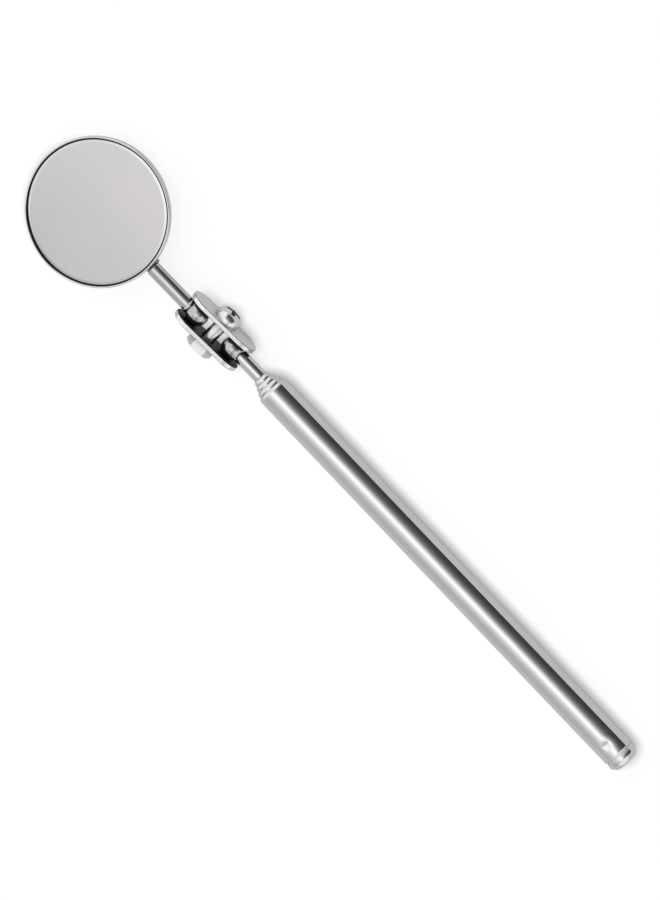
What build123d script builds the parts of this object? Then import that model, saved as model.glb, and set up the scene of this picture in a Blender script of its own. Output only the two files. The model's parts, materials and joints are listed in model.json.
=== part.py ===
from build123d import *
import os
from math import cos, radians, sin, sqrt

# Telescoping inspection mirror, in millimetres.
# It lies on a table, z = 0: the telescope runs along X, with the mirror towards +X and the plug
# towards -X. The clamp stands on its plates' edges, with its screw head towards -Y, and rises a
# little towards the mirror, which faces up. The origin is under the telescope's axis, midway along
# the whole tool.

# telescope
WALL = 0.25
HANDLE_RADIUS = 3.5
RADIUS_STEP = 0.5
TUBE_COUNT = 3
HANDLE_LENGTH = 102.6
MOUTH_STEP = 1.06
LIP_LENGTH = 1.15
LIP_LAND = 0.3
LIP_EDGE = 0.2
LIP_PLAY = 0.03
ROD_RADIUS = 1.5
ROD_BALL_TO_MOUTH = 11.4

# tails of the sliding sections, with their springs
TAIL_LENGTH = 4.2
TAIL_GAP = 0.3
BEAD_LENGTH = 0.6
BEAD_HEIGHT = 0.17
GROOVE_DEPTH = 0.15
GROOVE_SLOPE = 0.15
SPRING_SHEET = 0.14
SPRING_PLAY = 0.02
SPRING_SPLIT_DEG = 20.0
SPRING_SLOT_LENGTH = 1.9
SPRING_SLOT_WIDTH = 0.45

# end plug
PLUG_RADIUS = 3.47
PLUG_LENGTH = 2.57
PLUG_ROUND = 1.6
PLUG_SPIGOT = 5.0
STAKE_FROM_END = 2.9
STAKE_TOOL_RADIUS = 3.0
STAKE_DEPTH = 0.22
STAKE_ANGLE = 3.0

# ball joints and clamp
BALL_RADIUS = 2.5
BALL_SPACING = 10.05
BALL_PLAY = 0.03
BALL_BORE = 1.02
BALL_BORE_DEPTH = 3.6
SPIGOT_RADIUS = 1.0
SPIGOT_PLAY = 0.05
PLATE_WIDTH = 7.0
PLATE_THICKNESS = 1.0
PLATE_GAP = 4.3
PLATE_EDGE_ROUND = 0.14

# clamp screw and nut, M3
THREAD_RADIUS = 1.5
SCREW_HOLE_RADIUS = 1.6
SCREW_HEAD_RADIUS = 2.9
SCREW_HEAD_HEIGHT = 2.5
SCREW_HEAD_RIM = 0.5
SCREW_HEAD_FLAT = 0.9
SCREW_END_PAST_NUT = 0.4
RECESS_RADIUS = 2.1
RECESS_TIP_RADIUS = 0.35
RECESS_DEPTH = 1.7
RECESS_WING = 0.95
NUT_ACROSS_FLATS = 5.5
NUT_HEIGHT = 2.2
NUT_TURN = 4.0

# mirror head, in its own frame: X along the stem from the stem ball, Z out of the glass
STEM_RADIUS = 1.55
STEM_LENGTH = 29.14
TONGUE_WIDTH = 3.6
TONGUE_THICKNESS = 0.9
TONGUE_OVERLAP = 13.0
STEM_FLARE_LENGTH = 1.0
RIM_TO_FLARE = 0.1
WELD_SPOTS = (3.5, 8.5)
WELD_RADIUS = 1.2
WELD_DEPTH = 0.12
CASE_RADIUS = 15.65
CASE_BACK_Z = -0.5
CASE_SHEET = 0.35
CASE_CORNER = 0.5
CASE_TOP_Z = 1.4
GLASS_RADIUS = 14.95
GLASS_THICKNESS = 0.9
GLASS_FACE_Z = 1.0
PAD_RADIUS = 14.6

# rest pose, in degrees: the mirror has sunk to just above the table
CLAMP_RISE = 8.0
HEAD_ROLL = 3.5
STEM_DROOP = 3.6
STEM_YAW = 1.45

# places along X, worked out from the sizes above
LENGTH_TO_BALL = PLUG_LENGTH + HANDLE_LENGTH + ROD_BALL_TO_MOUTH
CLAMP_LENGTH = BALL_SPACING * cos(radians(CLAMP_RISE))
LENGTH_PAST_BALL = CLAMP_LENGTH + STEM_LENGTH * cos(radians(STEM_DROOP)) + CASE_RADIUS
AXIS_HEIGHT = PLATE_WIDTH / 2
ROD_BALL_X = (LENGTH_TO_BALL - LENGTH_PAST_BALL) / 2
STEM_BALL_X = ROD_BALL_X + CLAMP_LENGTH
STEM_BALL_RISE = BALL_SPACING * sin(radians(CLAMP_RISE))
MOUTH_X = ROD_BALL_X - ROD_BALL_TO_MOUTH
TUBE_END_X = MOUTH_X - HANDLE_LENGTH
PLUG_FACE_X = TUBE_END_X + PLUG_SPIGOT


def turned(*outline):
    """Solid of revolution about X, from the closed outline's edges, where Y is the radius."""
    return revolve(make_face(Curve() + list(outline)), Axis.X)


def on_axis(part):
    """Move a part from the X axis to the telescope's height."""
    return Pos(0, 0, AXIS_HEIGHT) * part


def mouth_edges(mouth_x, radius):
    """Outline of a tube's rolled mouth: outer arc, end face, bearing land and inner arc."""
    inner = radius - RADIUS_STEP + LIP_PLAY
    start = (mouth_x - LIP_LENGTH, radius)
    bore_start = (mouth_x - LIP_LENGTH, radius - WALL)
    end = (mouth_x, inner + LIP_EDGE)
    land_end = (mouth_x, inner)
    land_start = (mouth_x - LIP_LAND, inner)
    outer_arc = TangentArc(start, end, tangent=(1, 0))
    inner_arc = TangentArc(bore_start, land_start, tangent=(1, 0))
    return start, bore_start, [outer_arc, Line(end, land_end), Line(land_end, land_start), inner_arc]


def handle_tube():
    """Outer tube: rolled mouth, plain bore, open tail where the plug sits, two stake dimples."""
    start, bore_start, mouth = mouth_edges(MOUTH_X, HANDLE_RADIUS)
    bore = HANDLE_RADIUS - WALL
    body = Polyline(bore_start, (TUBE_END_X, bore), (TUBE_END_X, HANDLE_RADIUS), start)
    tube = turned(*mouth, body)
    tube += stakes(STAKE_TOOL_RADIUS + WALL) & plug_spigot_blank()
    return tube - stakes(STAKE_TOOL_RADIUS)


def stakes(radius):
    """The two opposite balls that press the tube into the plug, as tools of the given radius."""
    reach = HANDLE_RADIUS + STAKE_TOOL_RADIUS - STAKE_DEPTH
    x = TUBE_END_X + STAKE_FROM_END
    tool = Part()
    for angle in (STAKE_ANGLE, STAKE_ANGLE + 180):
        tool += Rot(-angle, 0, 0) * Pos(x, 0, reach) * Sphere(radius)
    return tool


def plug_spigot_blank():
    """The plug's spigot before it is staked."""
    bore = HANDLE_RADIUS - WALL
    middle = TUBE_END_X + PLUG_SPIGOT / 2
    return Pos(middle, 0, 0) * Rot(0, 90, 0) * Cylinder(bore, PLUG_SPIGOT)


def end_plug():
    """Domed plug with a spigot in the tube, dented by the stakes."""
    rim = (TUBE_END_X - PLUG_LENGTH + PLUG_ROUND, PLUG_RADIUS)
    nose = (TUBE_END_X - PLUG_LENGTH, PLUG_RADIUS - PLUG_ROUND)
    dome = TangentArc(rim, nose, tangent=(-1, 0))
    rest = Polyline(nose, (nose[0], 0), (TUBE_END_X, 0), (TUBE_END_X, PLUG_RADIUS), rim)
    return turned(dome, rest) + plug_spigot_blank() - stakes(STAKE_TOOL_RADIUS + WALL)


def section_radius(number):
    """Outer radius of section 1, the handle, to section 5, the tip rod."""
    return HANDLE_RADIUS - RADIUS_STEP * (number - 1)


def tail_x(number):
    """Where the tail of sliding section 2 to 5 ends when the telescope is closed."""
    return PLUG_FACE_X + TAIL_GAP + (number - 2) * (TAIL_LENGTH + TAIL_GAP)


def tail_points(number):
    """Outer outline of a tail, from its end: stop bead, spring groove, full radius."""
    x = tail_x(number)
    radius = section_radius(number)
    groove = radius - GROOVE_DEPTH
    return [
        (x, radius + BEAD_HEIGHT),
        (x + BEAD_LENGTH, radius + BEAD_HEIGHT),
        (x + BEAD_LENGTH + GROOVE_SLOPE, groove),
        (x + TAIL_LENGTH - GROOVE_SLOPE, groove),
        (x + TAIL_LENGTH, radius),
    ]


def sliding_tube(number):
    """Telescope tube: swaged tail with bead and groove, plain bore, rolled mouth."""
    radius = section_radius(number)
    start, bore_start, mouth = mouth_edges(MOUTH_X + MOUTH_STEP * (number - 1), radius)
    x = tail_x(number)
    bore = radius - WALL
    necked = bore - GROOVE_DEPTH
    inside = [
        (x, bore),
        (x + BEAD_LENGTH - WALL, bore),
        (x + BEAD_LENGTH + GROOVE_SLOPE, necked),
        (x + TAIL_LENGTH - GROOVE_SLOPE, necked),
        (x + TAIL_LENGTH, bore),
        bore_start,
    ]
    return turned(*mouth, Polyline(*inside[::-1], *tail_points(number), start))


def tip_rod():
    """Solid rod with the same tail, and a spigot for its ball."""
    seat_x = ROD_BALL_X - sqrt(BALL_RADIUS**2 - ROD_RADIUS**2) - SPIGOT_PLAY
    spigot_end = ROD_BALL_X - BALL_RADIUS + BALL_BORE_DEPTH - SPIGOT_PLAY
    outline = [
        (tail_x(TUBE_COUNT + 2), 0),
        *tail_points(TUBE_COUNT + 2),
        (seat_x, ROD_RADIUS),
        (seat_x, SPIGOT_RADIUS),
        (spigot_end, SPIGOT_RADIUS),
        (spigot_end, 0),
    ]
    return turned(Polyline(*outline, close=True))


def friction_spring(number):
    """Split barrel spring in a tail's groove: its belly bears on the next tube's bore."""
    inside = section_radius(number) - GROOVE_DEPTH + SPRING_PLAY / 2
    belly = section_radius(number - 1) - WALL - SPRING_PLAY
    low = tail_x(number) + BEAD_LENGTH + 2 * GROOVE_SLOPE
    high = tail_x(number) + TAIL_LENGTH - 2 * GROOVE_SLOPE
    middle = (low + high) / 2
    outer = ThreePointArc((low, inside + SPRING_SHEET), (middle, belly), (high, inside + SPRING_SHEET))
    inner = ThreePointArc((low, inside), (middle, belly - SPRING_SHEET), (high, inside))
    ends = [Line(outer @ 0, inner @ 0), Line(outer @ 1, inner @ 1)]
    sheet = make_face(Curve() + [outer, inner, *ends])
    spring = revolve(sheet, Axis.X, 360 - SPRING_SPLIT_DEG)
    for turn in (70, 160, 250):
        slot = Pos(middle, belly, 0) * Box(SPRING_SLOT_LENGTH, belly, SPRING_SLOT_WIDTH)
        spring -= Rot(turn, 0, 0) * slot
    return spring


def bored_ball(shaft_radius):
    """Ball with a spot face and a blind bore for a shaft that comes from -X."""
    face = sqrt(BALL_RADIUS**2 - shaft_radius**2)
    ball = Sphere(BALL_RADIUS)
    ball -= Pos(-face - BALL_RADIUS, 0, 0) * Box(2 * BALL_RADIUS, 2 * BALL_RADIUS, 2 * BALL_RADIUS)
    bore = Pos(-BALL_RADIUS + BALL_BORE_DEPTH / 2, 0, 0) * Rot(0, 90, 0)
    return ball - bore * Cylinder(BALL_BORE, BALL_BORE_DEPTH)


def rod_ball():
    """Ball on the tip rod."""
    return Pos(ROD_BALL_X, 0, 0) * bored_ball(ROD_RADIUS)


def along_stem():
    """Location of the stem ball's centre, with X along the stem."""
    return Pos(STEM_BALL_X, 0, STEM_BALL_RISE) * Rot(0, 0, STEM_YAW) * Rot(0, STEM_DROOP, 0)


def stem_ball():
    """Ball on the mirror's stem, with its bore towards the mirror."""
    return along_stem() * Rot(0, 0, 180) * bored_ball(STEM_RADIUS)


def clamp_plate(side):
    """Flat plate with round ends, a screw hole and two ball seats. side is -1 towards -Y, +1 to +Y."""
    blank = extrude(Plane.XZ * SlotCenterToCenter(BALL_SPACING, PLATE_WIDTH), PLATE_THICKNESS / 2, both=True)
    blank = fillet(blank.edges(), PLATE_EDGE_ROUND)
    plate = Pos(0, side * (PLATE_GAP + PLATE_THICKNESS) / 2, 0) * blank
    plate -= Rot(90, 0, 0) * Cylinder(SCREW_HOLE_RADIUS, 4 * PLATE_GAP)
    for x in (-BALL_SPACING / 2, BALL_SPACING / 2):
        plate -= Pos(x, 0, 0) * Sphere(BALL_RADIUS + BALL_PLAY)
    return clamp_centre() * plate


def clamp_screw():
    """Pan head screw with a cross recess, along Y from its head at -Y to past the nut at +Y."""
    seat = -PLATE_GAP / 2 - PLATE_THICKNESS
    top = seat - SCREW_HEAD_HEIGHT
    end = -seat + NUT_HEIGHT + SCREW_END_PAST_NUT
    rim = (seat - SCREW_HEAD_RIM, SCREW_HEAD_RADIUS)
    flat = (top, SCREW_HEAD_FLAT)
    dome = TangentArc(rim, flat, tangent=(-1, 0))
    chamfer = THREAD_RADIUS - 0.3
    rest = Polyline(
        flat,
        (top, 0),
        (end, 0),
        (end, chamfer),
        (end - 0.3, THREAD_RADIUS),
        (seat, THREAD_RADIUS),
        (seat, SCREW_HEAD_RADIUS),
        rim,
    )
    screw = turned(dome, rest) - Pos(top, 0, 0) * cross_recess()
    return clamp_centre() * Rot(0, 0, 90) * screw


def cross_recess():
    """Cross recess that opens at x = 0 towards -X and narrows towards +X."""
    wing = Box(RECESS_DEPTH, 2 * RECESS_RADIUS, RECESS_WING)
    cross = Pos(RECESS_DEPTH / 2, 0, 0) * (wing + Rot(90, 0, 0) * wing)
    funnel = Polyline(
        (0, 0), (0, RECESS_RADIUS), (RECESS_DEPTH, RECESS_TIP_RADIUS), (RECESS_DEPTH, 0), close=True
    )
    return cross & turned(funnel)


def clamp_nut():
    """Hexagon nut with chamfered corners, bearing on the plate at +Y."""
    corner = NUT_ACROSS_FLATS / sqrt(3)
    hexagon = Plane.YZ * RegularPolygon(NUT_ACROSS_FLATS / 2, 6, major_radius=False)
    blank = extrude(hexagon, NUT_HEIGHT)
    cut = 0.25
    flank = NUT_ACROSS_FLATS / 2 - 0.1
    envelope = Polyline(
        (0, 0), (0, flank), (cut, corner), (NUT_HEIGHT - cut, corner), (NUT_HEIGHT, flank), (NUT_HEIGHT, 0),
        close=True,
    )
    nut = blank & turned(envelope)
    nut -= Rot(0, 90, 0) * Cylinder(THREAD_RADIUS, 4 * NUT_HEIGHT)
    seat = PLATE_GAP / 2 + PLATE_THICKNESS
    return clamp_centre() * Rot(0, 0, 90) * Pos(seat, 0, 0) * Rot(NUT_TURN, 0, 0) * nut


def clamp_centre():
    """Location of the clamp's middle, on the screw, with X from ball to ball."""
    return Pos(ROD_BALL_X, 0, 0) * Rot(0, -CLAMP_RISE, 0) * Pos(BALL_SPACING / 2, 0, 0)


def in_rest_pose(head_part):
    """Place a part of the mirror head, rolled about its stem."""
    return along_stem() * Rot(-HEAD_ROLL, 0, 0) * head_part


def disc(radius, low, thickness):
    """Disc about the mirror's centre line, from height low."""
    return Pos(STEM_LENGTH, 0, low + thickness / 2) * Cylinder(radius, thickness)


def mirror_glass():
    """Mirror glass, glued on the pad, with a gap to the case's wall."""
    return in_rest_pose(disc(GLASS_RADIUS, GLASS_FACE_Z - GLASS_THICKNESS, GLASS_THICKNESS))


def backing_pad():
    """Thin pad between the case's back and the glass."""
    floor_z = CASE_BACK_Z + CASE_SHEET
    return in_rest_pose(disc(PAD_RADIUS, floor_z, GLASS_FACE_Z - GLASS_THICKNESS - floor_z))


def mirror_case():
    """Pressed cup with a rounded rim that stands above the glass."""
    inner_corner = CASE_CORNER - CASE_SHEET
    wall_inside = CASE_RADIUS - CASE_SHEET
    rim_base_z = CASE_TOP_Z - CASE_SHEET / 2
    back_edge = (CASE_RADIUS - CASE_CORNER, CASE_BACK_Z)
    side_low = (CASE_RADIUS, CASE_BACK_Z + CASE_CORNER)
    side_high = (CASE_RADIUS, rim_base_z)
    rim_top = (CASE_RADIUS - CASE_SHEET / 2, CASE_TOP_Z)
    rim_inside = (wall_inside, rim_base_z)
    wall_low = (wall_inside, CASE_BACK_Z + CASE_CORNER)
    floor_edge = (wall_inside - inner_corner, CASE_BACK_Z + CASE_SHEET)
    outline = [
        Line((0, CASE_BACK_Z), back_edge),
        TangentArc(back_edge, side_low, tangent=(1, 0)),
        Line(side_low, side_high),
        ThreePointArc(side_high, rim_top, rim_inside),
        Line(rim_inside, wall_low),
        TangentArc(wall_low, floor_edge, tangent=(0, -1)),
        Polyline(floor_edge, (0, CASE_BACK_Z + CASE_SHEET), (0, CASE_BACK_Z)),
    ]
    section = Plane.XZ * make_face(Curve() + outline)
    return in_rest_pose(Pos(STEM_LENGTH, 0, 0) * revolve(section, Axis.Z))


def mirror_stem():
    """Round rod with a spigot for its ball; its far end is pressed flat under the case's back."""
    seat_x = sqrt(BALL_RADIUS**2 - STEM_RADIUS**2) + SPIGOT_PLAY
    spigot_end = BALL_RADIUS - BALL_BORE_DEPTH + SPIGOT_PLAY
    tongue_x = STEM_LENGTH - CASE_RADIUS - RIM_TO_FLARE
    flare_x = tongue_x - STEM_FLARE_LENGTH
    tongue_z = CASE_BACK_Z - TONGUE_THICKNESS / 2
    outline = Polyline(
        (spigot_end, 0),
        (spigot_end, SPIGOT_RADIUS),
        (seat_x, SPIGOT_RADIUS),
        (seat_x, STEM_RADIUS),
        (flare_x, STEM_RADIUS),
        (flare_x, 0),
        close=True,
    )
    tongue_section = SlotOverall(TONGUE_WIDTH, TONGUE_THICKNESS)
    flare = loft([
        Plane.YZ * Pos(0, 0, flare_x) * Circle(STEM_RADIUS),
        Plane.YZ * Pos(0, tongue_z, tongue_x) * tongue_section,
    ])
    straight = TONGUE_OVERLAP - TONGUE_WIDTH / 2
    tongue = extrude(Plane.YZ * Pos(0, tongue_z, tongue_x) * tongue_section, straight)
    tip = Pos(tongue_x + straight, 0, tongue_z) * Cylinder(TONGUE_WIDTH / 2, TONGUE_THICKNESS)
    stem = turned(outline) + flare + tongue + tip
    for from_rim in WELD_SPOTS:
        under = tongue_z - TONGUE_THICKNESS / 2 + WELD_DEPTH - WELD_RADIUS
        stem -= Pos(tongue_x + from_rim, 0, under) * Sphere(WELD_RADIUS)
    return in_rest_pose(stem)


def all_parts():
    """Every node of the tool, by name."""
    parts = {
        "mirror_glass": mirror_glass(),
        "mirror_case": mirror_case(),
        "backing_pad": backing_pad(),
        "mirror_stem": mirror_stem(),
        "stem_ball": stem_ball(),
        "clamp_plate_screw_side": clamp_plate(-1),
        "clamp_plate_nut_side": clamp_plate(1),
        "clamp_screw": clamp_screw(),
        "clamp_nut": clamp_nut(),
        "rod_ball": rod_ball(),
        "tip_rod": tip_rod(),
        "handle_tube": handle_tube(),
        "end_plug": end_plug(),
        "friction_spring_rod": friction_spring(TUBE_COUNT + 2),
    }
    for number in range(2, TUBE_COUNT + 2):
        parts[f"tube_{number}"] = sliding_tube(number)
        parts[f"friction_spring_{number}"] = friction_spring(number)
    return parts


os.makedirs("parts", exist_ok=True)
for name, solid in all_parts().items():
    export_step(on_axis(solid), f"parts/{name}.step")
print(f"rod ball x {ROD_BALL_X:.3f}, stem ball x {STEM_BALL_X:.3f}, {STEM_BALL_RISE:.3f} higher")
print(f"mouth x {MOUTH_X:.3f}, tube end x {TUBE_END_X:.3f}, axis height {AXIS_HEIGHT:.3f}")
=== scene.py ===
import json
from math import acos, ceil, cos, hypot, pi, radians, sin, tan

import bmesh
import bpy
from mathutils import Matrix, Vector


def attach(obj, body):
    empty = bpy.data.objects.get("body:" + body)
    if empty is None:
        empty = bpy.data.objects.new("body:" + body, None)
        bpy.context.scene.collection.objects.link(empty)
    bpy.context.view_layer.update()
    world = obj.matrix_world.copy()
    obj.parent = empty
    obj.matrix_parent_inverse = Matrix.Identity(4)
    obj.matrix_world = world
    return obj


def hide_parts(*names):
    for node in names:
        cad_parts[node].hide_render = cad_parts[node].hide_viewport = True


# Shapes are written in millimetres and scaled by MM. The frame, the camera and the stage are in metres.
MM = 0.001
TOLERANCE = 0.01
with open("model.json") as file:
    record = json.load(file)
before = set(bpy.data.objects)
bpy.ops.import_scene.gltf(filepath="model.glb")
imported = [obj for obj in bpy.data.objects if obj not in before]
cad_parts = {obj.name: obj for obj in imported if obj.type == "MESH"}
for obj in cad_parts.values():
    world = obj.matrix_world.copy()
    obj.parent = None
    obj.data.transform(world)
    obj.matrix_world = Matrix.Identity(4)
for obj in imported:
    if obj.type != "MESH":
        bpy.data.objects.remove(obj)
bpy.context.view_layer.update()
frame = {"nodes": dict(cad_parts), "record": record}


# ---------------------------------------------------------------- places, from the frame

def joint(name):
    """The record's joint of that name."""
    return next(j for j in frame["record"]["behaviour"]["joints"] if j["name"] == name)


def placed(origin, along, up):
    """Local frame with X along the first direction and Z as near as can be to the second."""
    x = Vector(along).normalized()
    y = Vector(up).cross(x).normalized()
    place = Matrix((x, y, x.cross(y))).transposed().to_4x4()
    place.translation = origin
    return place


def flat_normal(node):
    """Upward normal of a CAD node's largest face."""
    faces = [face for face in frame["nodes"][node].data.polygons if face.normal.z > 0.5]
    return max(faces, key=lambda face: face.area).normal.copy()


def box_in(place, node):
    """Lowest and highest corner of a CAD node in a local frame, in millimetres."""
    back = place.inverted()
    points = [(back @ vertex.co) / MM for vertex in frame["nodes"][node].data.vertices]
    return Vector(map(min, zip(*points))), Vector(map(max, zip(*points)))


ROD_BALL = Vector(joint("clamp_swing")["pos_m"])
STEM_BALL = Vector(joint("mirror_swing")["pos_m"])
UP = (0, 0, 1)
TELESCOPE = placed((0, 0, ROD_BALL.z), (1, 0, 0), UP)
AT_ROD_BALL = placed(ROD_BALL, (1, 0, 0), UP)
CLAMP = placed((ROD_BALL + STEM_BALL) / 2, STEM_BALL - ROD_BALL, UP)
HEAD = placed(STEM_BALL, joint("mirror_roll")["axis"], flat_normal("mirror_glass"))


# ---------------------------------------------------------------- shader helpers

def new_material(name):
    """An empty node material: its tree and its Principled shader."""
    material = bpy.data.materials.new(name)
    material.use_nodes = True
    tree = material.node_tree
    return material, tree, tree.nodes["Principled BSDF"]


def add(tree, kind, inputs=None, **settings):
    """Add a node of a kind, with settings as properties and inputs as values or sockets."""
    node = tree.nodes.new(kind)
    for key, value in settings.items():
        setattr(node, key, value)
    for key, value in (inputs or {}).items():
        if isinstance(value, bpy.types.NodeSocket):
            tree.links.new(value, node.inputs[key])
        else:
            node.inputs[key].default_value = value
    return node


def object_coordinates(tree, stretch=(1, 1, 1)):
    """Object coordinates in millimetres, stretched by a factor along each axis."""
    source = add(tree, "ShaderNodeTexCoord").outputs["Object"]
    scale = tuple(s / MM for s in stretch)
    return add(tree, "ShaderNodeMapping", {"Vector": source, "Scale": scale}).outputs[0]


def noise(tree, where, scale, detail, roughness=0.5):
    """Noise factor at a number of waves per millimetre of the given coordinates."""
    inputs = {"Vector": where, "Scale": scale, "Detail": detail, "Roughness": roughness}
    return add(tree, "ShaderNodeTexNoise", inputs).outputs[0]


def remap(tree, value, low, high, to_low, to_high):
    """Clamped linear map of a value from one range to another."""
    inputs = {0: value, 1: low, 2: high, 3: to_low, 4: to_high}
    return add(tree, "ShaderNodeMapRange", inputs).outputs[0]


def maths(tree, operation, first, second=0.0):
    """One arithmetic node."""
    return add(tree, "ShaderNodeMath", {0: first, 1: second}, operation=operation).outputs[0]


def ramp(tree, factor, stops):
    """Colour ramp from (place, colour) stops."""
    node = add(tree, "ShaderNodeValToRGB", {0: factor})
    elements = node.color_ramp.elements
    while len(elements) < len(stops):
        elements.new(0.5)
    for element, (place, colour) in zip(elements, stops):
        element.position = place
        element.color = (*colour, 1)
    return node.outputs[0]


def grey(value):
    """A neutral colour."""
    return (value, value, value)


def mixed(tree, factor, first, second):
    """Colour mix."""
    return add(tree, "ShaderNodeMix", {0: factor, 6: first, 7: second}, data_type="RGBA").outputs[2]


def bump(tree, height, distance_mm, strength, normal=None):
    """Bump node: height 0 to 1 stands for distance_mm."""
    inputs = {"Height": height, "Distance": distance_mm * MM, "Strength": strength}
    if normal is not None:
        inputs["Normal"] = normal
    return add(tree, "ShaderNodeBump", inputs).outputs[0]


# ---------------------------------------------------------------- materials

CREVICE_SHADE_SAMPLES = 5
GRAIN_DEPTH = 0.02
# How far a plate's normal points along Y where its flat face begins, and where it is full.
FACE_BEGINS = 0.75
FACE_FULL = 0.95


def painted_crevice_shade(tree, colour, reach_mm):
    """Colour darkened by ambient occlusion where other surfaces crowd within reach: painted shade in
    crevices, recesses and between parts.
    """
    inputs = {"Color": colour, "Distance": reach_mm * MM}
    return add(tree, "ShaderNodeAmbientOcclusion", inputs, samples=CREVICE_SHADE_SAMPLES).outputs[0]


def polished(name, colour, along, rough, line=0.0016, wave=0.004, reach=0.8):
    """Polished plate: smudges and polishing lines in the roughness, lines and waviness in the bump, painted
    crevice shade in the colour.

    along stretches the polishing lines, which run in the direction of its smallest factor. rough is the
    lowest and highest roughness. line and wave are bump heights, and reach is that of the painted
    crevice shade, all in millimetres."""
    material, tree, shader = new_material(name)
    plain = object_coordinates(tree)
    drawn = object_coordinates(tree, along)
    lines = noise(tree, drawn, 9.0, 4.0, 0.65)
    smudge = noise(tree, plain, 0.16, 3.0, 0.55)
    waves = noise(tree, plain, 0.12, 1.0, 0.4)
    worn = maths(tree, "MULTIPLY", remap(tree, lines, 0.35, 0.75, 0.0, 1.0), 0.55)
    hazy = maths(tree, "MULTIPLY", remap(tree, smudge, 0.42, 0.72, 0.0, 1.0), 0.45)
    level = maths(tree, "ADD", worn, hazy)
    roughness = remap(tree, level, 0.0, 1.0, rough[0], rough[1])
    tone = ramp(tree, smudge, [(0.3, colour), (0.75, tuple(c * 0.95 for c in colour))])
    normal = bump(tree, waves, wave, 0.5)
    normal = bump(tree, lines, line, 0.25, normal)
    shader.inputs["Metallic"].default_value = 1.0
    # Base colour darkened by ambient occlusion: painted shade near other parts.
    tree.links.new(painted_crevice_shade(tree, tone, reach), shader.inputs["Base Color"])
    tree.links.new(roughness, shader.inputs["Roughness"])
    tree.links.new(normal, shader.inputs["Normal"])
    return material


def mirror_surface():
    """Silvered glass with faint wipe marks and dust in its gloss."""
    material, tree, shader = new_material("mirror_silvered_glass")
    where = object_coordinates(tree)
    wiped = noise(tree, object_coordinates(tree, (0.25, 1, 1)), 0.5, 4.0, 0.6)
    dust = noise(tree, where, 6.0, 2.0, 0.6)
    streaks = remap(tree, wiped, 0.45, 0.8, 0.0, 0.8)
    specks = remap(tree, dust, 0.7, 0.8, 0.0, 0.4)
    haze = maths(tree, "ADD", streaks, specks)
    cloud = noise(tree, where, 0.05, 2.0)
    tone = ramp(tree, cloud, [(0.35, (0.665, 0.67, 0.67)), (0.65, (0.71, 0.69, 0.68))])
    shader.inputs["Metallic"].default_value = 1.0
    tree.links.new(tone, shader.inputs["Base Color"])
    tree.links.new(remap(tree, haze, 0.0, 1.2, 0.015, 0.09), shader.inputs["Roughness"])
    return material


def plate_steel(inward):
    """Blanked steel sheet: grainy matt faces, bright edges with punch lines across their thickness, and a
    painted dark reflection line on the rounding between them.

    inward is 1 or -1, the side along Y that faces the balls: it gets a near-black tone, painted shade."""
    material, tree, shader = new_material("plate_blanked_steel")
    where = object_coordinates(tree)
    facing = add(tree, "ShaderNodeSeparateXYZ", {0: add(tree, "ShaderNodeTexCoord").outputs["Normal"]})
    flat = maths(tree, "ABSOLUTE", facing.outputs[1])
    face = remap(tree, flat, FACE_BEGINS, FACE_FULL, 0.0, 1.0)
    grain = noise(tree, where, 4.0, 5.0, 0.75)
    blotch = noise(tree, where, 0.7, 3.0, 0.5)
    punched = noise(tree, object_coordinates(tree, (1, 0.12, 1)), 12.0, 3.0, 0.6)
    matt = ramp(tree, grain, [(0.38, grey(0.72)), (0.62, grey(1.0))])
    matt = mixed(tree, remap(tree, blotch, 0.3, 0.8, 0.0, 0.3), matt, (0.74, 0.74, 0.73, 1))
    # Near-black tone for the face toward the balls: painted shade between the plates.
    scale = ramp(tree, grain, [(0.3, grey(0.05)), (0.7, grey(0.13))])
    inner = maths(tree, "MULTIPLY", facing.outputs[1], float(inward))
    painted_shade_inside = remap(tree, inner, FACE_BEGINS, FACE_FULL, 0.0, 1.0)
    matt = mixed(tree, painted_shade_inside, matt, scale)
    # Painted dark reflection line on the rounding between face and edge.
    dark_line_from_edge = remap(tree, flat, 0.2, 0.5, 0.0, 1.0)
    dark_line_from_face = remap(tree, flat, 0.93, 0.99, 0.85, 0.0)
    rim = maths(tree, "MULTIPLY", dark_line_from_edge, dark_line_from_face)
    bright = ramp(tree, punched, [(0.3, grey(0.80)), (0.75, grey(0.92))])
    tone = mixed(tree, rim, mixed(tree, face, bright, matt), (0.05, 0.05, 0.05, 1))
    edge_rough = remap(tree, punched, 0.3, 0.8, 0.16, 0.30)
    face_rough = remap(tree, grain, 0.3, 0.8, 0.38, 0.58)
    rough = add(tree, "ShaderNodeMix", {0: face, 2: edge_rough, 3: face_rough}).outputs[0]
    height = add(tree, "ShaderNodeMix", {0: face, 2: punched, 3: grain}).outputs[0]
    shader.inputs["Metallic"].default_value = 1.0
    tree.links.new(tone, shader.inputs["Base Color"])
    tree.links.new(rough, shader.inputs["Roughness"])
    tree.links.new(bump(tree, height, GRAIN_DEPTH, 0.5), shader.inputs["Normal"])
    return material


def grained(name, colours, rough, scale, metallic=0.0):
    """Grained surface for the inner pieces: two tones, with roughness and bump from one noise.

    rough is the lowest and highest roughness, and scale the grain's waves per millimetre."""
    material, tree, shader = new_material(name)
    grain = noise(tree, object_coordinates(tree), scale, 5.0, 0.65)
    shader.inputs["Metallic"].default_value = metallic
    tree.links.new(ramp(tree, grain, [(0.3, colours[0]), (0.7, colours[1])]), shader.inputs["Base Color"])
    tree.links.new(remap(tree, grain, 0.25, 0.8, rough[0], rough[1]), shader.inputs["Roughness"])
    tree.links.new(bump(tree, grain, GRAIN_DEPTH, 0.6), shader.inputs["Normal"])
    return material


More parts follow.
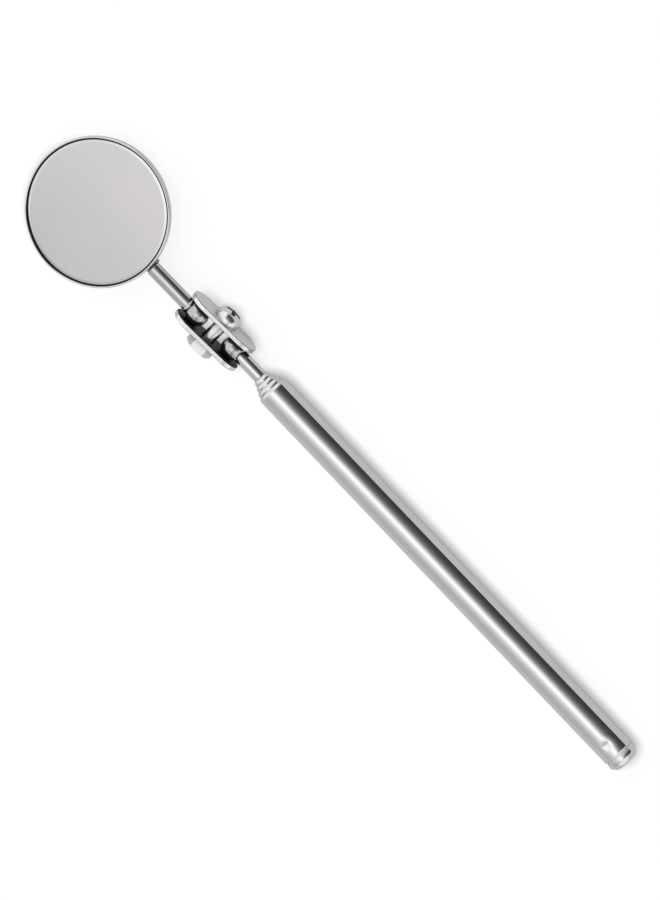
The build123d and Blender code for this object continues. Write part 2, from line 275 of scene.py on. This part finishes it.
CHROME = (0.80, 0.80, 0.805)
ALONG_X = (0.06, 1, 1)
MATERIALS = {
    "mirror_glass": mirror_surface(),
    "case_chrome": polished("case_chrome_plate", CHROME, (1, 1, 0.2), (0.05, 0.13)),
    "pad_board": grained(
        "pad_black_board", [(0.012, 0.012, 0.013), (0.035, 0.034, 0.034)], (0.6, 0.85), 6.0),
    "stem_chrome": polished("stem_chrome_plate", grey(0.66), ALONG_X, (0.08, 0.18), reach=0.3),
    "ball_steel": polished(
        "ball_turned_steel", (0.58, 0.55, 0.555), (3, 0.3, 0.3), (0.04, 0.12),
        line=0.003, wave=0.01, reach=1.2),
    "fastener_zinc": polished(
        "fastener_bright_zinc", (0.87, 0.87, 0.88), (1, 1, 1), (0.14, 0.30),
        line=0.004, wave=0.01, reach=2.5),
    "rod_chrome": polished("rod_chrome_plate", CHROME, ALONG_X, (0.06, 0.13)),
    "tube_chrome": polished("tube_chrome_plate", CHROME, ALONG_X, (0.03, 0.08)),
    "plug_chrome": polished("plug_chrome_plate", CHROME, (3, 0.4, 0.4), (0.06, 0.14)),
    "spring_bronze": grained(
        "spring_bronze_sheet", [(0.62, 0.40, 0.20), (0.74, 0.52, 0.30)], (0.25, 0.42), 4.0, metallic=1.0),
}
PLATES_INWARD = {"clamp_plate_screw_side": 1, "clamp_plate_nut_side": -1}


def dress_cad_nodes():
    """Give every CAD node the material of its slot, and each plate its own steel."""
    for row in frame["record"]["subparts"]:
        name = row["node"]
        if name in PLATES_INWARD:
            material = plate_steel(PLATES_INWARD[name])
        else:
            material = MATERIALS[row["material_slot"]]
        for place in frame["nodes"][name].material_slots:
            place.link = "OBJECT"
            place.material = material


# ---------------------------------------------------------------- mesh helpers

def corner_arc(before, corner, after, radius):
    """Points of the arc that rounds an outline's corner."""
    here = Vector(corner)
    back = (Vector(before) - here).normalized()
    ahead = (Vector(after) - here).normalized()
    half = back.angle(ahead) / 2
    start = here + back * radius / tan(half)
    end = here + ahead * radius / tan(half)
    centre = here + (back + ahead).normalized() * radius / sin(half)
    turn = pi - 2 * half
    steps = max(2, ceil(turn / radians(10)))
    points = []
    for k in range(steps + 1):
        angle = turn * k / steps
        spoke = (start - centre) * sin(turn - angle) + (end - centre) * sin(angle)
        points.append(tuple(centre + spoke / sin(turn)))
    return points


def rounded(corners, closed=True):
    """Outline through (along, radius, rounding) corners, with each rounding as a short arc."""
    points = []
    last = len(corners) - 1
    for k, (x, y, rounding) in enumerate(corners):
        if rounding == 0 or (not closed and k in (0, last)):
            points.append((x, y))
        else:
            before = corners[k - 1][:2]
            after = corners[(k + 1) % len(corners)][:2]
            points += corner_arc(before, (x, y), after, rounding)
    return points


def shoulder(start, end, steps=10):
    """Points of the arc that leaves the start along X and ends at the end, without its first point."""
    run = end[0] - start[0]
    drop = start[1] - end[1]
    radius = (run**2 + drop**2) / (2 * drop)
    turn = acos(1 - drop / radius)
    turns = [turn * k / steps for k in range(1, steps + 1)]
    way = 1 if run > 0 else -1
    return [(start[0] + way * radius * sin(a), start[1] - radius * (1 - cos(a)), 0) for a in turns]


def ring(mesh, x, radius, turns):
    """Ring of vertices about local X, or one vertex on the axis. Millimetres."""
    if radius < 1e-6:
        return [mesh.verts.new((x * MM, 0, 0))]
    angles = [2 * pi * k / turns for k in range(turns)]
    return [mesh.verts.new((x * MM, radius * cos(a) * MM, radius * sin(a) * MM)) for a in angles]


def skin(mesh, rings, closed):
    """Faces between neighbouring rings, and from the last ring to the first if closed.

    A ring of one vertex is a tip, with triangles round it."""
    pairs = list(zip(rings, rings[1:]))
    if closed:
        pairs.append((rings[-1], rings[0]))
    for low, high in pairs:
        for k in range(max(len(low), len(high))):
            edge = (low[k % len(low)], high[k % len(high)])
            following = (high[(k + 1) % len(high)], low[(k + 1) % len(low)])
            mesh.faces.new(list(dict.fromkeys(edge + following)))


def lathe(outline, turns, closed=True):
    """Surface of revolution about local X from an outline of (along, radius) points."""
    mesh = bmesh.new()
    skin(mesh, [ring(mesh, x, radius, turns) for x, radius in outline], closed)
    return mesh


def piece(name, mesh, place, body, slot, *nodes, sharp=32):
    """Finished piece from a mesh in a local frame: it rides a body and stands for CAD nodes."""
    bmesh.ops.recalc_face_normals(mesh, faces=mesh.faces)
    mesh.transform(place)
    data = bpy.data.meshes.new(name)
    mesh.to_mesh(data)
    mesh.free()
    data.shade_smooth()
    data.set_sharp_from_angle(angle=radians(sharp))
    data.materials.append(MATERIALS[slot])
    made = bpy.data.objects.new(name, data)
    bpy.context.scene.collection.objects.link(made)
    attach(made, body)
    if nodes:
        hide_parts(*nodes)


# ---------------------------------------------------------------- telescope

WALL = 0.25
RADIUS_STEP = 0.5
HANDLE_RADIUS = box_in(TELESCOPE, "handle_tube")[1].y
SHOULDER_LENGTH = 1.15
RIM_CHAMFER = 0.2
RIM_FACE = 0.1
LIP_LENGTH = 0.35
SLIDE_PLAY = 0.03
BEAD_HEIGHT = 0.17
BEAD_LENGTH = 0.6
GROOVE_DEPTH = 0.15
GROOVE_START = 0.75
GROOVE_END = 4.05
TAIL_LENGTH = 4.2
SPIGOT_RADIUS = 1.0
SPIGOT_LENGTH = 3.14
HANDLE_TURNS = 192
TUBE_TURNS = 128
ROD_TURNS = 96
PLUG_TURNS = 160


def section_radius(number):
    """Outer radius of section 1, the handle, to section 5, the tip rod."""
    return HANDLE_RADIUS - RADIUS_STEP * (number - 1)


def mouth(x, radius):
    """Corners of a rolled mouth, from its shoulder over the rim's chamfer and face into the bore."""
    bore = radius - RADIUS_STEP + SLIDE_PLAY
    start = (x - SHOULDER_LENGTH, radius)
    rim = (x - RIM_CHAMFER, bore + RIM_FACE + RIM_CHAMFER)
    corners = [(*start, 0), *shoulder(start, rim), (x, bore + RIM_FACE, 0.05), (x, bore, 0.03)]
    return corners + [(x - LIP_LENGTH, bore, 0), (x - SHOULDER_LENGTH, radius - WALL, 0)]


def tail(x, radius):
    """Corners of a sliding section's tail, from its bore's end: stop bead, spring groove, full radius."""
    bead = radius + BEAD_HEIGHT
    groove = radius - GROOVE_DEPTH
    return [
        (x, radius - WALL, 0.04), (x, bead, 0.08), (x + BEAD_LENGTH, bead, 0.08),
        (x + GROOVE_START, groove, 0.04), (x + GROOVE_END, groove, 0.04), (x + TAIL_LENGTH, radius, 0.05),
    ]


DENT_FROM_END = 2.9
DENT_REACH = 2.3
DENT_DEPTH = 0.15
PUNCH_REACH = 1.2
PUNCH_DEPTH = 0.12
DENT_TURN = radians(3)
DENT_STEPS = 20
EDGE_CHAMFER_LENGTH = 0.32
EDGE_CHAMFER_DEPTH = 0.22


def bowl(distance, reach):
    """Smooth dent profile: 1 at its middle, 0 from its reach outwards."""
    return max(0.0, 1 - (distance / reach)**2)**2


def press_dents(mesh, x, outside):
    """Press the two opposite stake dents into the handle's tail, where its radius is at least outside."""
    for vertex in mesh.verts:
        along, across, height = vertex.co / MM
        radius = hypot(across, height)
        if radius < outside or abs(along - x) > DENT_REACH:
            continue
        for side in (1, -1):
            middle = Vector((0, -side * sin(DENT_TURN), side * cos(DENT_TURN)))
            arc = radius * Vector((0, across, height)).angle(middle)
            distance = hypot(along - x, arc)
            depth = DENT_DEPTH * bowl(distance, DENT_REACH) + PUNCH_DEPTH * bowl(distance, PUNCH_REACH)
            vertex.co -= Vector((0, across, height)) / radius * depth * MM


def handle_tube():
    """Outer tube with a rolled mouth, an eased tail edge and two stake dents."""
    low, high = box_in(TELESCOPE, "handle_tube")
    radius = HANDLE_RADIUS
    bore = radius - WALL
    dent = low.x + DENT_FROM_END
    fine = [(dent + DENT_REACH * (1 - k / DENT_STEPS), radius, 0) for k in range(2 * DENT_STEPS + 1)]
    edge = [(low.x + EDGE_CHAMFER_LENGTH, radius, 0.05), (low.x, radius - EDGE_CHAMFER_DEPTH, 0.01)]
    corners = [(low.x, bore, 0.03), *mouth(high.x, radius)[::-1], *fine, *edge]
    mesh = lathe(rounded(corners), HANDLE_TURNS)
    press_dents(mesh, dent, radius - TOLERANCE)
    piece("handle_tube_drawn", mesh, TELESCOPE, "handle", "tube_chrome", "handle_tube")


def sliding_tube(number):
    """Sliding section: rolled mouth, long bore, beaded tail."""
    node = f"tube_{number}"
    low, high = box_in(TELESCOPE, node)
    radius = section_radius(number)
    corners = [*mouth(high.x, radius)[::-1], *tail(low.x, radius)[::-1]]
    mesh = lathe(rounded(corners), TUBE_TURNS)
    piece(f"{node}_drawn", mesh, TELESCOPE, f"section_{number}", "tube_chrome", node)


def tip_rod():
    """Solid tip rod with a beaded tail, and a spigot in its ball."""
    low, high = box_in(TELESCOPE, "tip_rod")
    radius = section_radius(5)
    seat = high.x - SPIGOT_LENGTH
    front = [(seat, radius, 0.06), (seat, SPIGOT_RADIUS, 0), (high.x, SPIGOT_RADIUS, 0.1), (high.x, 0, 0)]
    corners = [(low.x, 0, 0), *tail(low.x, radius)[1:], *front]
    mesh = lathe(rounded(corners, closed=False), ROD_TURNS, closed=False)
    piece("tip_rod_turned", mesh, TELESCOPE, "rod", "rod_chrome", "tip_rod")


PLUG_INSET = 0.03
PLUG_SPIGOT_PLAY = 0.35
PLUG_GAP = 0.02
PLUG_NOSE_DROP = 1.0
PLUG_BEAD_START = 1.35
PLUG_BEAD_END = 0.85
PLUG_NECK_DEPTH = 0.18


def end_plug():
    """Domed plug: a neck that widens from the tube's edge to a bead, then a round nose."""
    low, high = box_in(TELESCOPE, "end_plug")
    tube_end = box_in(TELESCOPE, "handle_tube")[0].x
    radius = HANDLE_RADIUS - PLUG_INSET
    spigot = HANDLE_RADIUS - WALL - PLUG_SPIGOT_PLAY
    neck = tube_end - PLUG_GAP
    corners = [
        (low.x, 0, 0), (low.x, radius - PLUG_NOSE_DROP, 1.2), (tube_end - PLUG_BEAD_START, radius, 0.5),
        (tube_end - PLUG_BEAD_END, radius - TOLERANCE, 0.3), (neck, radius - PLUG_NECK_DEPTH, 0.03),
        (neck, spigot, 0), (high.x, spigot, 0.1), (high.x, 0, 0),
    ]
    mesh = lathe(rounded(corners, closed=False), PLUG_TURNS, closed=False)
    piece("end_plug_domed", mesh, TELESCOPE, "handle", "plug_chrome", "end_plug")


# ---------------------------------------------------------------- ball joints

BALL_RADIUS = 2.5
BALL_TURNS = 96
BALL_STEPS = 48
BORE_DEPTH = 3.6
BORE_PLAY = 0.02
OPENING_PLAY = 0.12
SPOT_FACE_DEPTH = 0.12
THREAD_PITCH = 0.5
THREAD_TURNS = 48
THREAD_ROOT = 1.36
THREAD_HEIGHT = 0.13
THREAD_HALF_WIDTH = 0.18
THREAD_FADE = 12


def ball(node, place, shaft_radius):
    """Ball with an eased spot face and a bore, for a shaft that comes from local -X."""
    opening = shaft_radius + OPENING_PLAY
    bore = SPIGOT_RADIUS + BORE_PLAY
    bore_end = -BALL_RADIUS + BORE_DEPTH
    face = -(BALL_RADIUS**2 - opening**2)**0.5
    first = acos(-face / BALL_RADIUS)
    arc = [pi - first - (pi - first) * k / BALL_STEPS for k in range(BALL_STEPS + 1)]
    outline = [(bore_end, 0), (bore_end, bore), (face + SPOT_FACE_DEPTH, bore), (face + 0.04, opening - 0.1)]
    outline += [(BALL_RADIUS * cos(a), BALL_RADIUS * sin(a)) for a in arc]
    piece(f"{node}_turned", lathe(outline, BALL_TURNS, closed=False), place, node, "ball_steel", node)


def thread():
    """M3 thread ridge on the screw's end, past the nut. It fades in and out at its ends."""
    mesh = bmesh.new()
    start = box_in(CLAMP, "clamp_nut")[1].y
    end = box_in(CLAMP, "clamp_screw")[1].y
    count = round((end - start) / THREAD_PITCH * THREAD_TURNS)
    rails = []
    for k in range(count + 1):
        a = 2 * pi * k / THREAD_TURNS
        y = start + (end - start) * k / count
        crest = THREAD_ROOT + THREAD_HEIGHT * min(1.0, k / THREAD_FADE, (count - k) / THREAD_FADE)
        rail = []
        for step, radius in ((-THREAD_HALF_WIDTH, THREAD_ROOT), (0, crest), (THREAD_HALF_WIDTH, THREAD_ROOT)):
            height = max(min(y + step, end), start)
            rail.append(mesh.verts.new((radius * cos(a) * MM, height * MM, radius * sin(a) * MM)))
        rails.append(rail)
    for low, high in zip(rails, rails[1:]):
        mesh.faces.new((low[0], low[1], high[1], high[0]))
        mesh.faces.new((low[1], low[2], high[2], high[1]))
    piece("screw_end_thread", mesh, CLAMP, "clamp", "fastener_zinc", sharp=60)


# ---------------------------------------------------------------- mirror head

HEAD_TURNS = 256
PAD_TURNS = 192
CASE_WALL = 0.35
CASE_LIP = 0.17
GLASS_BEVEL = 0.5
SEALANT_OUTER_DROP = 0.42
SEALANT_INNER_DROP = 0.36


def about_normal(x):
    """Frame on the mirror's centre line, at x in the head's frame, with local X out of the glass."""
    return HEAD @ Matrix.Translation((x * MM, 0, 0)) @ Matrix.Rotation(-pi / 2, 4, "Y")


def head_pieces():
    """Glass with a ground bevel, sealed backing pad and pressed cup."""
    low, high = box_in(HEAD, "mirror_case")
    place = about_normal((low.x + high.x) / 2)
    glass_low, glass_high = box_in(HEAD, "mirror_glass")
    face = glass_high.z
    back = low.z
    case_radius = high.y - TOLERANCE
    cup_radius = case_radius - CASE_WALL
    cup_floor = back + CASE_WALL
    glass_radius = glass_high.y
    glass = [
        (glass_low.z, 0, 0), (glass_low.z, glass_radius, 0.1), (face - 0.1, glass_radius, 0.03),
        (face, glass_radius - GLASS_BEVEL, 0.06), (face, 0, 0),
    ]
    piece("mirror_glass_ground", lathe(rounded(glass, False), HEAD_TURNS, False), place,
          "mirror_head", "mirror_glass", "mirror_glass")
    seat = glass_low.z - TOLERANCE
    seat_radius = glass_radius + TOLERANCE
    pad = [
        (cup_floor, 0, 0), (cup_floor, cup_radius - 0.1, 0.1),
        (face - SEALANT_OUTER_DROP, cup_radius - TOLERANCE, 0.02),
        (face - SEALANT_INNER_DROP, seat_radius, 0.02), (seat, seat_radius, 0.02), (seat, 0, 0),
    ]
    piece("backing_pad_sealed", lathe(rounded(pad, False), PAD_TURNS, False), place,
          "mirror_head", "pad_board", "backing_pad")
    case = [
        (back, 0, 0), (back, case_radius, 0.5), (high.z, case_radius, CASE_LIP),
        (high.z, cup_radius, CASE_LIP), (cup_floor, cup_radius, 0.15), (cup_floor, 0, 0),
    ]
    piece("mirror_case_pressed", lathe(rounded(case, False), HEAD_TURNS, False), place,
          "mirror_head", "case_chrome", "mirror_case")


CASE_LOW = box_in(HEAD, "mirror_case")[0]
STEM_RADIUS = 1.55
STEM_TURNS = 96
NECK = 2.0
FLARE_LENGTH = 0.5
FLARE_GAP = 0.1
FLARE_LEAD = 0.4
FLARE_STEPS = 24
TONGUE_WIDTH = 3.6
TONGUE_THICKNESS = 0.9
TONGUE_FLATNESS = 2.2
TONGUE_STEPS = 80
WELD_SPOTS = (3.4, 8.4)
WELD_REACH = 0.9
WELD_DEPTH = 0.13
UNDERSIDE = -0.85


def tongue_underside(x, y):
    """Height of the weld dents on the tongue's underside."""
    return sum(WELD_DEPTH * bowl(hypot(x - CASE_LOW.x - spot, y), WELD_REACH) for spot in WELD_SPOTS)


def eased(t):
    """Smooth step from 0 to 1, level at both ends."""
    return t * t * t * (t * (6 * t - 15) + 10)


def stem_section(mesh, x, shape, narrowing=1.0):
    """Ring of the stem at x: round at shape 0, pressed to the tongue's flat section at shape 1."""
    straight = (TONGUE_WIDTH - TONGUE_THICKNESS) / 2
    points = []
    for k in range(STEM_TURNS):
        a = 2 * pi * k / STEM_TURNS
        sideways = max(-1.0, min(1.0, TONGUE_FLATNESS * cos(a)))
        flat_y = TONGUE_THICKNESS / 2 * cos(a) + straight * sideways
        flat_z = CASE_LOW.z - TONGUE_THICKNESS / 2 + TONGUE_THICKNESS / 2 * sin(a)
        y = STEM_RADIUS * cos(a) * (1 - shape) + flat_y * shape * narrowing
        z = STEM_RADIUS * sin(a) * (1 - shape) + flat_z * shape
        if shape == 1.0 and sin(a) < UNDERSIDE:
            z += tongue_underside(x, y)
        points.append(mesh.verts.new((x * MM, y * MM, z * MM)))
    return points


def stem():
    """Round stem with a neck ring at its ball, pressed to a flat tongue under the case."""
    mesh = bmesh.new()
    low, high = box_in(HEAD, "mirror_stem")
    end = CASE_LOW.x - FLARE_GAP
    collar = [
        (NECK - 0.1, STEM_RADIUS - 0.3), (NECK, STEM_RADIUS + 0.14), (NECK + 0.1, STEM_RADIUS + 0.2),
        (NECK + 0.5, STEM_RADIUS + 0.2), (NECK + 0.62, STEM_RADIUS + 0.1), (NECK + 0.66, STEM_RADIUS),
    ]
    neck = [(low.x, 0), (low.x, SPIGOT_RADIUS), (NECK - 0.1, SPIGOT_RADIUS), *collar]
    rings = [ring(mesh, x, radius, STEM_TURNS) for x, radius in neck]
    rings.append(ring(mesh, end - FLARE_LENGTH - FLARE_LEAD, STEM_RADIUS, STEM_TURNS))
    for k in range(FLARE_STEPS + 1):
        t = k / FLARE_STEPS
        rings.append(stem_section(mesh, end - FLARE_LENGTH * (1 - t), eased(t)))
    for k in range(1, TONGUE_STEPS):
        left = (high.x - end) * (1 - k / TONGUE_STEPS)
        short = max(0.0, 1 - left / (TONGUE_WIDTH / 2))
        rings.append(stem_section(mesh, high.x - left, 1.0, (1 - short**2)**0.5))
    rings.append([mesh.verts.new(sum((v.co for v in rings[-1]), Vector()) / STEM_TURNS)])
    skin(mesh, rings, False)
    piece("mirror_stem_pressed", mesh, HEAD, "mirror_head", "stem_chrome", "mirror_stem", sharp=60)


def build():
    """Every detailed piece."""
    handle_tube()
    for number in (2, 3, 4):
        sliding_tube(number)
    tip_rod()
    end_plug()
    ball("rod_ball", AT_ROD_BALL, section_radius(5))
    ball("stem_ball", HEAD @ Matrix.Rotation(pi, 4, "Z"), STEM_RADIUS)
    thread()
    head_pieces()
    stem()


# ---------------------------------------------------------------- studio

VIEW_ELEVATION = radians(73.5)
VIEW_ROLL = radians(46.36)
VIEW_WIDTH = 0.1345
VIEW_DISTANCE = 1.1
VIEW_CENTRE_FROM_BALL = 0.0287
SENSOR = 36.0
TABLE_REACH = 3.0
CONTACT_SHADE = 2.4
CONTACT_SAMPLES = 8
# Light level by turn round the X axis: 0 is the horizon at -Y, 0.5 straight up, 1 the horizon at +Y.
SKY = [
    (0.00, 0.045), (0.16, 0.070), (0.27, 0.15), (0.36, 0.38), (0.44, 0.95),
    (0.51, 1.35), (0.57, 1.10), (0.66, 0.76), (0.80, 0.52), (1.00, 0.56),
]
# Spans of a direction's X in which the light walls come in, and the place and spread of the dark screen.
WALL_AHEAD = (0.2, 0.45)
WALL_BEHIND = (-0.7, -0.9)
SCREEN_PLACE = -0.45
SCREEN_SPREAD = (0.08, 0.24)
SCREEN_SHARE = 0.45


def studio_floor():
    """Plain pale table top that the tool lies on. It glows more for the camera than for the metal, and its
    glow is dimmed by ambient occlusion near the tool, a painted contact shade.
    """
    mesh = bpy.data.meshes.new("table_top")
    signs = ((-1, -1), (1, -1), (1, 1), (-1, 1))
    corners = [(x * TABLE_REACH, y * TABLE_REACH, 0) for x, y in signs]
    mesh.from_pydata(corners, [], [(0, 1, 2, 3)])
    floor = bpy.data.objects.new("table_top", mesh)
    bpy.context.scene.collection.objects.link(floor)
    material = bpy.data.materials.new("pale_table")
    material.use_nodes = True
    tree = material.node_tree
    tree.nodes.clear()
    seen = add(tree, "ShaderNodeLightPath").outputs["Is Camera Ray"]
    shade = {"Distance": CONTACT_SHADE * MM}
    # Glow dimmed by ambient occlusion: painted contact shade by the tool and between the plates.
    open_sky = add(tree, "ShaderNodeAmbientOcclusion", shade, samples=CONTACT_SAMPLES).outputs["AO"]
    glow = maths(tree, "MULTIPLY", open_sky, remap(tree, seen, 0.0, 1.0, 0.40, 0.80))
    lit = add(tree, "ShaderNodeBsdfDiffuse", {"Color": (0.30, 0.30, 0.297, 1)})
    shine = add(tree, "ShaderNodeEmission", {"Color": (1.0, 1.0, 0.992, 1), "Strength": glow})
    both = add(tree, "ShaderNodeAddShader", {0: lit.outputs[0], 1: shine.outputs[0]})
    add(tree, "ShaderNodeOutputMaterial", {"Surface": both.outputs[0]})
    mesh.materials.append(material)


def studio_light():
    """Soft overhead light as a world that changes with the direction's turn round the X axis.

    Both ends of X are light walls, with a narrow dark screen before the one at -X. The camera sees
    plain white."""
    world = bpy.data.worlds.new("soft_studio")
    bpy.context.scene.world = world
    world.use_nodes = True
    tree = world.node_tree
    tree.nodes.clear()
    way = add(tree, "ShaderNodeSeparateXYZ", {0: add(tree, "ShaderNodeTexCoord").outputs["Generated"]})
    toward = maths(tree, "MULTIPLY", way.outputs[1], -1.0)
    turn = maths(tree, "ARCTAN2", way.outputs[2], toward)
    share = maths(tree, "DIVIDE", turn, pi)
    stops = [(place, grey(level)) for place, level in SKY]
    ahead = remap(tree, way.outputs[0], *WALL_AHEAD, 0.0, 1.0)
    behind = remap(tree, way.outputs[0], *WALL_BEHIND, 0.0, 1.0)
    screen = maths(tree, "ABSOLUTE", maths(tree, "ADD", way.outputs[0], -SCREEN_PLACE))
    shade = remap(tree, screen, *SCREEN_SPREAD, SCREEN_SHARE, 0.0)
    light = mixed(tree, shade, ramp(tree, share, stops), (0.04, 0.04, 0.04, 1))
    light = mixed(tree, maths(tree, "MAXIMUM", ahead, behind), light, (1.0, 1.0, 1.0, 1))
    seen = add(tree, "ShaderNodeLightPath").outputs["Is Camera Ray"]
    shown = mixed(tree, seen, light, (0.95, 0.95, 0.945, 1))
    back = add(tree, "ShaderNodeBackground", {"Color": shown, "Strength": 1.0})
    add(tree, "ShaderNodeOutputWorld", {"Surface": back.outputs[0]})


def studio_camera():
    """Long lens camera that looks steeply down, with the handle running to the lower right."""
    data = bpy.data.cameras.new("camera")
    data.sensor_fit = "HORIZONTAL"
    data.sensor_width = SENSOR
    data.lens = SENSOR * VIEW_DISTANCE / VIEW_WIDTH
    data.clip_end = 10.0
    camera = bpy.data.objects.new("camera", data)
    bpy.context.scene.collection.objects.link(camera)
    back = Vector((0, -cos(VIEW_ELEVATION), sin(VIEW_ELEVATION)))
    across = Vector((0, -sin(VIEW_ELEVATION), -cos(VIEW_ELEVATION)))
    toward_plug = Vector((-1, 0, 0))
    right = cos(VIEW_ROLL) * toward_plug + sin(VIEW_ROLL) * across
    up = -sin(VIEW_ROLL) * toward_plug + cos(VIEW_ROLL) * across
    centre = ROD_BALL + VIEW_CENTRE_FROM_BALL * toward_plug
    place = Matrix((right, up, back)).transposed().to_4x4()
    place.translation = centre + VIEW_DISTANCE * back
    camera.matrix_world = place
    bpy.context.scene.camera = camera


def colour_management():
    """Plain display, so that white stays white."""
    view = bpy.context.scene.view_settings
    view.view_transform = "Standard"
    view.look = "None"


colour_management()
studio_camera()
studio_floor()
studio_light()
dress_cad_nodes()
build()
